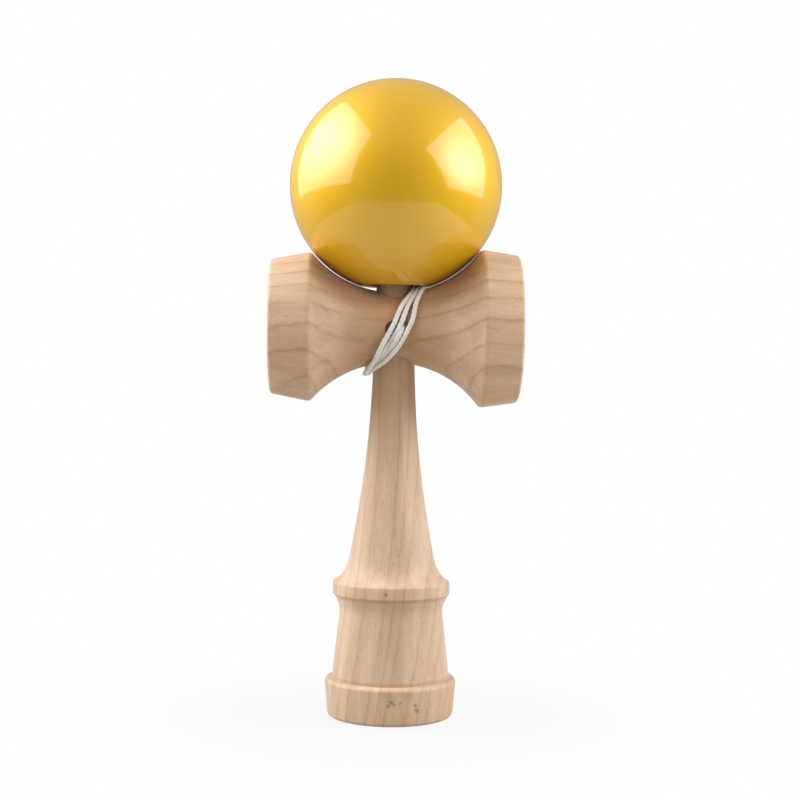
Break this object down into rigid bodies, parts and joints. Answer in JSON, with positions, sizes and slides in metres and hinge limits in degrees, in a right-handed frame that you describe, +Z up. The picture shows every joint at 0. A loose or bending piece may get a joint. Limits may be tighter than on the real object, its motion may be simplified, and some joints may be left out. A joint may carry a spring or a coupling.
{
  "type": "kendama",
  "caption": "Wooden kendama with a turned handle and spike, a cross-piece with a big and a small cup, a glossy gold ball on the spike, and a string wound round the waist.",
  "frame": {"origin": "centre of the foot, on the surface that the handle stands on", "axes": "+Z up along the handle and the spike, +X along the cross-piece towards the big cup, +Y away from the side with the string hole"},
  "size_m": [0.07, 0.0616, 0.1812],
  "materials": {
    "handle_wood": "turned and sanded pale beech, bare",
    "cross_wood": "turned and sanded pale beech, bare",
    "gold_lacquer": "pearl gold lacquer with a gloss clear coat over wood",
    "bead_plastic": "smooth moulded",
    "cotton_string": "white twisted string"
  },
  "bodies": {
    "ken": {"ken": "handle_wood"},
    "sarado": {"sarado": "cross_wood", "sarado_knot": "cotton_string", "string_winding": "cotton_string", "string_riser": "cotton_string"},
    "bead": {"bead": "bead_plastic", "bead_knot": "cotton_string", "string_drop": "cotton_string"},
    "tama": {"tama": "gold_lacquer"}
  },
  "joints": [
    {"name": "sarado_pull", "type": "slide", "parent": "ken", "child": "sarado", "axis": [0, 0, 1], "range_m": [0, 0.065]},
    {"name": "tama_lift", "type": "slide", "parent": "sarado", "child": "bead", "axis": [0, 0, 1], "range_m": [0, 0.06], "deforming": ["string_riser"]},
    {"name": "tama_spin", "type": "hinge", "parent": "bead", "child": "tama", "pos_m": [0, 0, 0.15], "axis": [0, 0, 1], "continuous": true}
  ]
}
